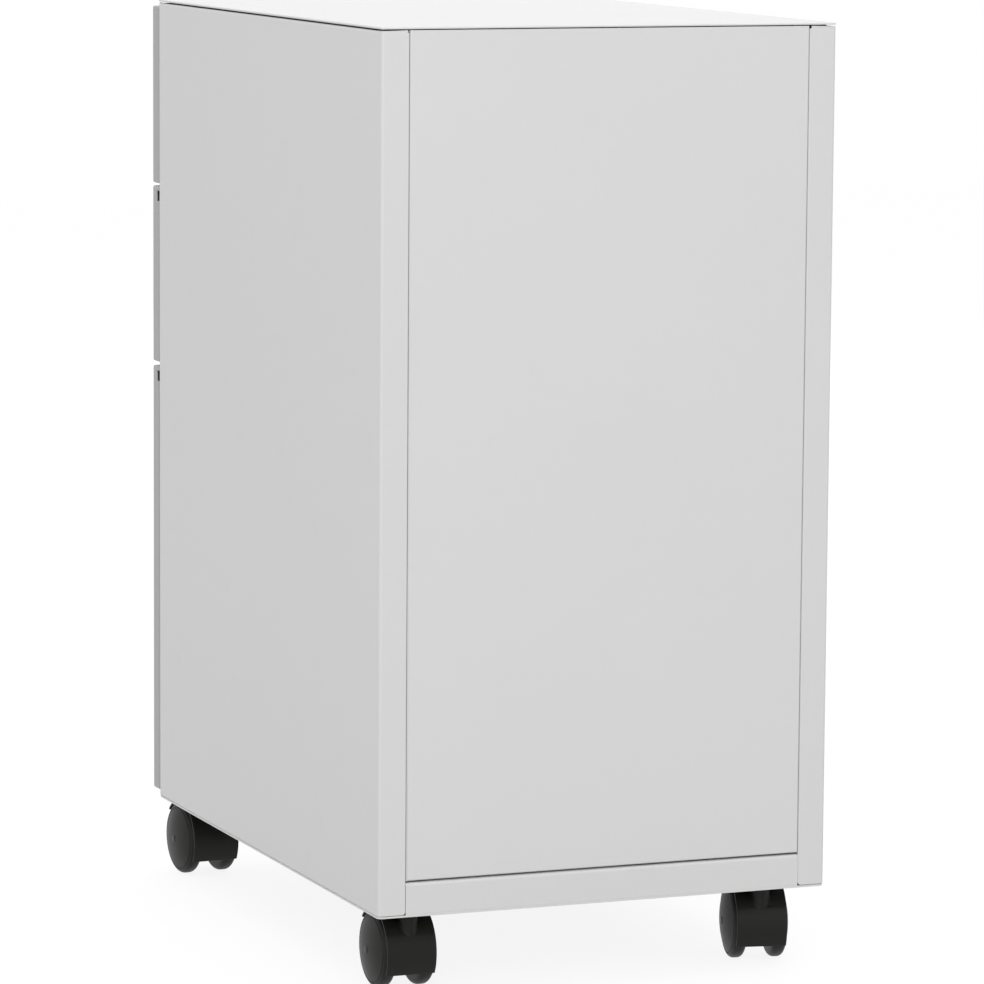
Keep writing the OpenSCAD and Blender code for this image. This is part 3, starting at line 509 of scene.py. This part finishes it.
# ---------------------------------------------------------------------------
# Bottom sheet and front rail. The bottom is a thicker sheet under both sides,
# folded up at the rear as the rail below the rear panel. The front rail ties
# the sides behind the first drawer front. Both are painted with the shell.
# ---------------------------------------------------------------------------
def dress(name, material, edge=SHEET_EDGE_R, segments=2, limit=40):
    """Gives a CAD node its finish, with its facets joined and its hard edges softened."""
    piece = frame["nodes"][name]
    piece.data.materials.clear()
    piece.data.materials.append(material)
    piece.data.shade_smooth()
    weld = piece.modifiers.new("joined_facets", "WELD")
    weld.merge_threshold = TOUCH
    whole = piece.modifiers.new("whole_faces", "DECIMATE")
    whole.decimate_type = "DISSOLVE"
    whole.angle_limit = math.radians(0.5)
    soft_edges(piece, edge, segments, limit)
    return piece


dress("bottom_pan", shell_paint, 0.10 * MM)
dress("front_rail", shell_paint)


# ---------------------------------------------------------------------------
# Rear panel. A sheet let in between the rear flanges: its sides fold forward
# into lips that are spot-welded to the side panels' legs, and its lower edge
# folds forward over the rail's shadow gap.
# ---------------------------------------------------------------------------
# the shell's powder coat made a hair lighter: painted light for the back's slightly stronger light
REAR_PAINT = (0.645, 0.645, 0.643)
REAR_EDGE_R = 0.8 * MM
REAR_LIP_W = 6 * MM
REAR_FOOT_W = 7 * MM

rear_paint = finished("rear_paint", powder_grain, REAR_PAINT, PAINT_ROUGHNESS, PAINT_BUMP,
                      specular=PAINT_SPECULAR)
rear_low, rear_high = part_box("rear_panel")
rear_leg = shell_rear - REAR_FOLD_D
rear_bm = folded_sheet([
    (rear_low[0] + REAR_LIP_W, rear_leg, rear_low[2]),
    (rear_low[0], rear_leg, rear_low[2]),
    (rear_low[0], shell_rear, rear_low[2]),
    (rear_high[0], shell_rear, rear_low[2]),
    (rear_high[0], rear_leg, rear_low[2]),
    (rear_high[0] - REAR_LIP_W, rear_leg, rear_low[2]),
], (0, 0, rear_high[2] - rear_low[2]), (REAR_EDGE_R,) * 4, (0, 1, 0))
rear_foot = [e for e in rear_bm.edges if all(abs(v.co.z - rear_low[2]) < TOUCH
                                             and abs(v.co.y - shell_rear) < TOUCH for v in e.verts)]
pull_out(rear_bm, rear_foot, (0, -REAR_FOOT_W, 0))
rounded(rear_bm, rear_foot, 1.2 * MM, 5)
face_outward(rear_bm, (0, 1, 0))
seat("rear_panel", rear_bm, rear_paint, "carcass", ("rear_panel",),
     thickness=SHEET, edge=SHEET_EDGE_R)


# ---------------------------------------------------------------------------
# Top panel. A painted steel lid with a hem rolled under its edge, which stands
# on two strips and so leaves a thin shadow gap above the sides and the rear.
# ---------------------------------------------------------------------------
# the shell's powder coat made a little lighter: painted light, adding to the stronger light from above on the
# top
TOP_PAINT = (0.660, 0.660, 0.658)
TOP_ROUGHNESS = 0.50
TOP_EDGE_T = 1.2 * MM
HEM_W = 3 * MM
TOP_CORNER_R = 1.2 * MM
TOP_RIM_R = 0.45 * MM
SEAT_W = 4 * MM
# width and height of the dark strips on the sides' top flanges, painted shade for the gap under the top panel
SHADE_STRIP_W = 3.2 * MM
SHADE_STRIP_T = 0.35 * MM

top_paint = finished("top_paint", powder_grain, TOP_PAINT, TOP_ROUGHNESS, PAINT_BUMP,
                     specular=PAINT_SPECULAR)
top_low, top_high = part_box("top_panel")


def boxed(bm, low, high):
    """Adds a box to a mesh, and returns its points."""
    size = [h - l for l, h in zip(low, high)]
    middle = [(l + h) / 2 for l, h in zip(low, high)]
    made = bmesh.ops.create_cube(bm, size=1, matrix=Matrix.Translation(middle) @ Matrix.Diagonal((*size, 1)))
    return made["verts"]


def edges_along(bm, axis):
    """The edges that run along one axis."""
    return [e for e in bm.edges
            if abs((e.verts[1].co - e.verts[0].co).normalized()[axis]) > 0.999]


top_bm = bmesh.new()
hem_z = top_high[2] - TOP_EDGE_T
boxed(top_bm, (top_low[0], top_low[1], hem_z), top_high)
rounded(top_bm, edges_along(top_bm, 2), TOP_CORNER_R)
top_rims = [e for e in top_bm.edges if len({round(v.co.z, 6) for v in e.verts}) == 1]
rounded(top_bm, top_rims, TOP_RIM_R, 3)
under = [f for f in top_bm.faces if f.normal.z < -0.99]
bmesh.ops.inset_region(top_bm, faces=under, thickness=HEM_W - TOP_RIM_R)
under = [f for f in top_bm.faces if f.normal.z < -0.99 and f.calc_area() > 0.01]
lifted = bmesh.ops.extrude_face_region(top_bm, geom=under)["geom"]
bmesh.ops.translate(top_bm, verts=[v for v in lifted if isinstance(v, bmesh.types.BMVert)],
                    vec=(0, 0, TOP_EDGE_T - SHEET))
bmesh.ops.delete(top_bm, geom=under, context="FACES")
for seat_side in (1, -1):
    seat_x = seat_side * (half_width - SHEET - TOP_FLANGE_W / 2)
    boxed(top_bm, (seat_x - SEAT_W / 2, shell_front + RETURN_D + 3 * MM, side_top),
          (seat_x + SEAT_W / 2, rear_leg - 4 * MM, top_high[2] - SHEET - 0.01 * MM))
face_outward(top_bm, (0, 0, 1))
flat_light(seat("top_panel", top_bm, top_paint, "carcass", ("top_panel",)))


# ---------------------------------------------------------------------------
# Inside the shell: four channels of galvanised sheet welded to the sides, the
# cabinet halves of the ball slides screwed to them, the rubber buttons that the
# fronts close on, the keepers of the lock bar, and a steel weight at the rear.
# ---------------------------------------------------------------------------
def metal_skin_group():
    """Plated or bare metal: clouded tone, dull patches and fine scratches of handling."""
    tree, given, result, place = finish_group("metal_skin", (0.65, 0.65, 0.65), 0.35)
    cloud = noise(tree, place, 60, 4, 0.6)
    fine = noise(tree, place, 900, 2)
    long_way = node(tree, "ShaderNodeMapping")
    long_way.inputs["Scale"].default_value = (1, 0.02, 1)
    link(tree, place, long_way.inputs["Vector"])
    streak = noise(tree, long_way.outputs[0], 1400, 2)
    rough = math_node(tree, "ADD", given.outputs["Roughness"], swing(tree, cloud, 0.22))
    rough = math_node(tree, "ADD", rough, swing(tree, streak, 0.16))
    tone = math_node(tree, "ADD", swing(tree, cloud, 0.16), swing(tree, streak, 0.08))
    tone = math_node(tree, "ADD", tone, 1.0)
    height = math_node(tree, "ADD", math_node(tree, "MULTIPLY", streak, 0.6),
                       math_node(tree, "MULTIPLY", fine, 0.4))
    link(tree, tinted(tree, given.outputs["Color"], tone), result.inputs["Color"])
    link(tree, rough, result.inputs["Roughness"])
    link(tree, height, result.inputs["Height"])
    return tree


def moulded_grain_group():
    """Moulded plastic and rubber: spark-eroded grain, faint flow marks and a little dust."""
    tree, given, result, place = finish_group("moulded_grain", (0.02, 0.02, 0.02), 0.5)
    grain = noise(tree, place, 2200, 3, 0.6)
    flow = noise(tree, place, 55, 3)
    dust = between(tree, noise(tree, place, 260, 4, 0.7), 0.58, 0.80)
    rough = math_node(tree, "ADD", given.outputs["Roughness"], swing(tree, grain, 0.16))
    rough = math_node(tree, "ADD", rough, swing(tree, flow, 0.14))
    rough = math_node(tree, "ADD", rough, math_node(tree, "MULTIPLY", dust, 0.12))
    tone = math_node(tree, "ADD", swing(tree, flow, 0.30), math_node(tree, "MULTIPLY", dust, 0.35))
    tone = math_node(tree, "ADD", tone, 1.0)
    link(tree, tinted(tree, given.outputs["Color"], tone), result.inputs["Color"])
    link(tree, rough, result.inputs["Roughness"])
    link(tree, grain, result.inputs["Height"])
    return tree


metal_skin = metal_skin_group()
moulded_grain = moulded_grain_group()
galvanised = finished("galvanised", metal_skin, (0.60, 0.61, 0.62), 0.42, 0.00002, metallic=0.9)
zinc = finished("zinc", metal_skin, (0.70, 0.71, 0.73), 0.28, 0.00001, metallic=1.0)
bright_steel = finished("bright_steel", metal_skin, (0.66, 0.67, 0.68), 0.24, 0.00001, metallic=1.0)
nickel = finished("nickel", metal_skin, (0.66, 0.63, 0.58), 0.26, 0.00001, metallic=1.0)
black_steel = finished("black_steel", metal_skin, (0.045, 0.045, 0.045), 0.48, 0.00002, metallic=0.4)
rubber = finished("rubber", moulded_grain, (0.014, 0.014, 0.013), 0.72, 0.00004, specular=0.3)
black_plastic = finished("black_plastic", moulded_grain, (0.0064, 0.0063, 0.0053), 0.44, 0.00003,
                         specular=0.22)

dress("slide_uprights", galvanised)
for cabinet_slides in ("top_cabinet_slides", "middle_cabinet_slides", "file_cabinet_slides"):
    dress(cabinet_slides, bright_steel, 0.12 * MM)
dress("slide_screws", zinc, 0.25 * MM, 3)
dress("drawer_bumpers", rubber, 0.20 * MM)
dress("lock_bar_guides", black_plastic, 0.25 * MM)

# painted shade: dark strips in the rubber finish on the sides' top flanges, just inside the gap under the top
# panel, so that the gap reads dark
shade_strip_bm = bmesh.new()
for shade_strip_side in (1, -1):
    shade_strip_x = shade_strip_side * (half_width - TOP_FOLD_R - SHADE_STRIP_W / 2 + 0.2 * MM)
    boxed(shade_strip_bm, (shade_strip_x - SHADE_STRIP_W / 2, shell_front + FRONT_RAIL_D + 1 * MM, side_top - 0.05 * MM),
          (shade_strip_x + SHADE_STRIP_W / 2, rear_leg - 2 * MM, side_top + SHADE_STRIP_T))
bmesh.ops.recalc_face_normals(shade_strip_bm, faces=shade_strip_bm.faces)
seat("gap_shade_strips", shade_strip_bm, rubber, "carcass", (), edge=0.10 * MM)
dress("counterweight", black_steel, 0.8 * MM, 3)


# ---------------------------------------------------------------------------
# Drawer fronts. Each is a folded pan of powder-coated sheet in a darker grey,
# open behind, with a cut-out for its pull. The two lower ones have a relief
# slot in each side, where the press tool bent their flange.
# ---------------------------------------------------------------------------
DRAWERS = ("top", "middle", "file")
FRONT_PAINT = (0.375, 0.375, 0.374)
FRONT_EDGE_R = 1.2 * MM
FRONT_FLANGE_W = 30 * MM
PULL_HOLE_W = 51.6 * MM
PULL_HOLE_H = 11.6 * MM
LOCK_HOLE_R = 8.1 * MM
RELIEF_W = 3.5 * MM
RELIEF_TOP = 3 * MM
RELIEF_H = 7 * MM
RING_T = 0.8 * MM

front_paint = finished("front_paint", powder_grain, FRONT_PAINT, PAINT_ROUGHNESS, PAINT_BUMP,
                       specular=PAINT_SPECULAR)
plug_low, plug_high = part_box("lock_plug")
lock_x = (plug_low[0] + plug_high[0]) / 2
lock_z = (plug_low[2] + plug_high[2]) / 2


def cut_round(bm, x, y, z, radius):
    """Cuts an eight-sided hole in a sheet that faces along Y."""
    centre = Vector((x, y, z))
    for turn in (0, 90, 180, 270, 45, 135, 225, 315):
        away = Vector((math.cos(math.radians(turn)), 0, math.sin(math.radians(turn))))
        near = [f for f in bm.faces if reaches_into(
            f, (x - radius, y - 1e-4, z - radius), (x + radius, y + 1e-4, z + radius))
            and (turn % 90 == 0 or (f.calc_center_median() - centre).length < radius)]
        bmesh.ops.bisect_plane(bm, geom=parts_of(near), dist=CUT_SNAP, plane_co=centre + away * radius,
                               plane_no=away)
    inside = [f for f in bm.faces if (f.calc_center_median() - centre).length < radius / 2]
    bmesh.ops.delete(bm, geom=inside, context="FACES")


def drawer_front(drawer):
    """The folded pan of one drawer's front."""
    low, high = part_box(drawer + "_drawer_front")
    pull_low, pull_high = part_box(drawer + "_drawer_pull")
    pull_z = (pull_low[2] + pull_high[2]) / 2
    back = high[1]
    bm = bmesh.new()
    boxed(bm, low, high)
    rim = bm.edges[:]
    behind = [f for f in bm.faces if f.normal.y > 0.99]
    bmesh.ops.inset_region(bm, faces=behind, thickness=FRONT_FLANGE_W)
    bmesh.ops.delete(bm, geom=[f for f in bm.faces if f.normal.y > 0.99
                               and abs(f.calc_center_median().x) < TOUCH
                               and abs(f.calc_center_median().z - (low[2] + high[2]) / 2) < TOUCH],
                     context="FACES")
    rounded(bm, rim, FRONT_EDGE_R)
    cut_box(bm, (-PULL_HOLE_W, low[1] - 1 * MM, pull_z - PULL_HOLE_H),
            (PULL_HOLE_W, low[1] + 0.5 * MM, pull_z + PULL_HOLE_H))
    if drawer == "top":
        cut_round(bm, lock_x, low[1], lock_z, LOCK_HOLE_R)
    else:
        for side in (1, -1):
            x0, x1 = sorted((side * (high[0] - 3 * SHEET), side * (high[0] + 1 * MM)))
            cut_box(bm, (x0, back - RELIEF_W, high[2] - RELIEF_TOP - RELIEF_H),
                    (x1, back + 1 * MM, high[2] - RELIEF_TOP))
    face_outward(bm, (0, -1, 0))
    seat(drawer + "_drawer_front", bm, front_paint, drawer + "_drawer",
         (drawer + "_drawer_front",), thickness=SHEET, edge=SHEET_EDGE_R)


for drawer in DRAWERS:
    drawer_front(drawer)


# ---------------------------------------------------------------------------
# Pulls. A black moulded cup is snapped into each front from outside: a flange
# with rounded corners, a smooth mouth and a radiused floor for the fingers.
# ---------------------------------------------------------------------------
PULL_FLANGE_R = 8 * MM
PULL_RIM_W = 6 * MM
PULL_WALL = 1.5 * MM
PULL_FLANGE_W = 4.5 * MM


def inset_face(bm, face, width):
    """Insets one face, and returns the face left in the middle."""
    bmesh.ops.inset_region(bm, faces=[face], thickness=width)
    return face


def push_face(bm, face, depth):
    """Extrudes one face along Y, and returns the moved face."""
    made = bmesh.ops.extrude_face_region(bm, geom=[face])["geom"]
    bmesh.ops.translate(bm, verts=[v for v in made if isinstance(v, bmesh.types.BMVert)], vec=(0, depth, 0))
    bmesh.ops.delete(bm, geom=[face], context="FACES_ONLY")
    return next(f for f in made if isinstance(f, bmesh.types.BMFace))


def drawer_pull(drawer):
    """The cup and flange of one drawer's pull."""
    low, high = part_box(drawer + "_drawer_pull")
    skin = low[1] + RING_T
    bm = bmesh.new()
    boxed(bm, low, (high[0], skin, high[2]))
    rounded(bm, edges_along(bm, 1), PULL_FLANGE_R, 6)
    outer = next(f for f in bm.faces if f.normal.y < -0.99)
    inner = next(f for f in bm.faces if f.normal.y > 0.99)
    mouth = inset_face(bm, outer, PULL_RIM_W)
    rim_edges = [e for e in bm.edges if all(abs(v.co.y - low[1]) < TOUCH for v in e.verts)
                 and len({f.normal.y < -0.99 for f in e.link_faces}) == 2]
    mouth_edges = list(mouth.edges)
    floor_face = push_face(bm, mouth, high[1] - PULL_WALL - low[1])
    floor_edges = list(floor_face.edges)
    cup = inset_face(bm, inner, PULL_FLANGE_W)
    back_face = push_face(bm, cup, high[1] - skin)
    back_edges = list(back_face.edges)
    rounded(bm, floor_edges, 1.8 * MM, 4)
    rounded(bm, back_edges, 1.5 * MM, 3)
    rounded(bm, [e for e in mouth_edges if e.is_valid], 0.9 * MM, 4)
    rounded(bm, [e for e in rim_edges if e.is_valid], 0.35 * MM, 3)
    bmesh.ops.recalc_face_normals(bm, faces=bm.faces)
    flat_light(seat(drawer + "_drawer_pull", bm, black_plastic, drawer + "_drawer",
                    (drawer + "_drawer_pull",)))


for drawer in DRAWERS:
    drawer_pull(drawer)


# ---------------------------------------------------------------------------
# Trays and slides. The trays are folded galvanised sheet screwed to the backs
# of the fronts. The drawer halves of the slides are screwed to their sides, and
# the balls run between the halves in pressed cages that move half as far.
# ---------------------------------------------------------------------------
for drawer in DRAWERS:
    dress(drawer + "_drawer_tray", galvanised, 0.20 * MM)
    dress(drawer + "_drawer_slides", bright_steel, 0.12 * MM)
    dress(drawer + "_drawer_fixings", zinc, 0.25 * MM, 3)
    dress(drawer + "_ball_cages", zinc, 0.10 * MM)
    dress(drawer + "_balls", bright_steel, 0.01 * MM, 1)
dress("file_rails", galvanised, 0.30 * MM)


# ---------------------------------------------------------------------------
# Lock. A nickel-plated barrel is held in the first front by a hexagon nut. Its
# plug turns a cam, whose pin lifts the flat bar behind the right front return,
# and the bar's hooks catch a stud on every drawer.
# ---------------------------------------------------------------------------
dress("lock_barrel", nickel, 0.25 * MM, 3)
dress("lock_plug", nickel, 0.20 * MM, 3)
dress("lock_nut", zinc, 0.30 * MM)
dress("lock_cam", zinc, 0.20 * MM)
dress("lock_bar", zinc, 0.20 * MM)


# ---------------------------------------------------------------------------
# Castors. Black moulded hoods swivel on steel stems that are bolted through the
# bottom sheet, and each carries two domed wheels on one axle. The hood closes
# over the treads like a mudguard, and a small cap is pressed into each dome.
# ---------------------------------------------------------------------------
CORNERS = ("front_left", "front_right", "rear_left", "rear_right")
WHEEL_R = 24 * MM
WHEEL_IN = 8.4 * MM
WHEEL_OUT = 17.5 * MM
TREAD_ROUND = 3.5 * MM
DOME_H = 3.5 * MM
BORE_R = 3.1 * MM
BORE_END = 0.2 * MM
WHEEL_STEPS = 72
CAP_STEPS = 32
GROOVE = 0.35 * MM
HUB_CAP_R = 2.4 * MM
HUB_CAP_H = 0.4 * MM

dress("castor_stems", black_steel, 0.20 * MM)
dress("castor_nuts", zinc, 0.30 * MM)


def arc(centre, radius, first, last, steps):
    """Points of an arc in the profile's plane, as (radius, distance out) pairs."""
    return [(centre[0] + radius * math.cos(math.radians(first + (last - first) * k / steps)),
             centre[1] + radius * math.sin(math.radians(first + (last - first) * k / steps)))
            for k in range(steps + 1)]


def wheel_profile():
    """The wheel's section, from its bore round the tread and over the dome to its middle."""
    face_r = WHEEL_R - TREAD_ROUND
    dome_r = (face_r ** 2 + DOME_H ** 2) / (2 * DOME_H)
    dome_turn = math.degrees(math.asin(face_r / dome_r))
    dome_centre = (0, WHEEL_OUT + DOME_H - dome_r)
    line = [(BORE_R, WHEEL_IN + 0.3 * MM), (BORE_R + 0.3 * MM, WHEEL_IN)]
    line += arc((face_r, WHEEL_IN + TREAD_ROUND), TREAD_ROUND, -90, 0, 7)
    line += arc((face_r, WHEEL_OUT - TREAD_ROUND), TREAD_ROUND, 0, 76, 6)
    line += [(face_r + 0.5 * MM, WHEEL_OUT - GROOVE - 0.1 * MM), (face_r + 0.1 * MM, WHEEL_OUT - GROOVE)]
    return line + arc(dome_centre, dome_r, 90 - dome_turn, 90, 16)


def spun(profile, steps):
    """A profile spun about the X axis; its points are (radius, distance along X)."""
    bm = bmesh.new()
    line = [bm.verts.new((x, 0, r)) for r, x in profile]
    for ends in zip(line, line[1:]):
        bm.edges.new(ends)
    bmesh.ops.spin(bm, geom=bm.verts[:] + bm.edges[:], cent=(0, 0, 0), axis=(1, 0, 0), dvec=(0, 0, 0),
                   angle=math.radians(360), steps=steps, use_merge=True)
    bmesh.ops.remove_doubles(bm, verts=bm.verts, dist=TOUCH)
    bmesh.ops.recalc_face_normals(bm, faces=bm.faces)
    return bm


def castor_wheel(corner, which, sign):
    """One wheel, out from the middle of its castor."""
    joint = next(j for j in frame["joints"] if j["name"] == f"{corner}_spin_{which}")
    out_x = Vector((*joint["axis"][:2], 0)).normalized()
    turn = math.atan2(out_x.y, out_x.x) + (0 if sign > 0 else math.pi)
    place = Matrix.Translation(joint["pos_m"]) @ Matrix.Rotation(turn, 4, "Z")
    roller = f"{corner}_roller_{which}"
    end = WHEEL_OUT - BORE_END
    bm = spun([(0, end), (BORE_R, end)] + wheel_profile(), WHEEL_STEPS)
    bmesh.ops.transform(bm, matrix=place, verts=bm.verts)
    seat(f"{corner}_wheel_{which}", bm, black_plastic, roller,
         (f"{corner}_wheel_{which}",), smooth_angle=28)
    top = WHEEL_OUT + DOME_H
    cap = spun([(0, top - 1 * MM), (HUB_CAP_R, top - 1 * MM), (HUB_CAP_R, top + 0.5 * HUB_CAP_H),
                (HUB_CAP_R - 0.3 * MM, top + 0.8 * HUB_CAP_H), (0, top + HUB_CAP_H)], CAP_STEPS)
    bmesh.ops.transform(cap, matrix=place, verts=cap.verts)
    seat(f"{corner}_cap_{which}", cap, black_steel, roller, ())


for corner in CORNERS:
    dress(corner + "_hood", black_plastic, 0.45 * MM, 3, 30)
    dress(corner + "_axle", bright_steel)
    castor_wheel(corner, "a", 1)
    castor_wheel(corner, "b", -1)
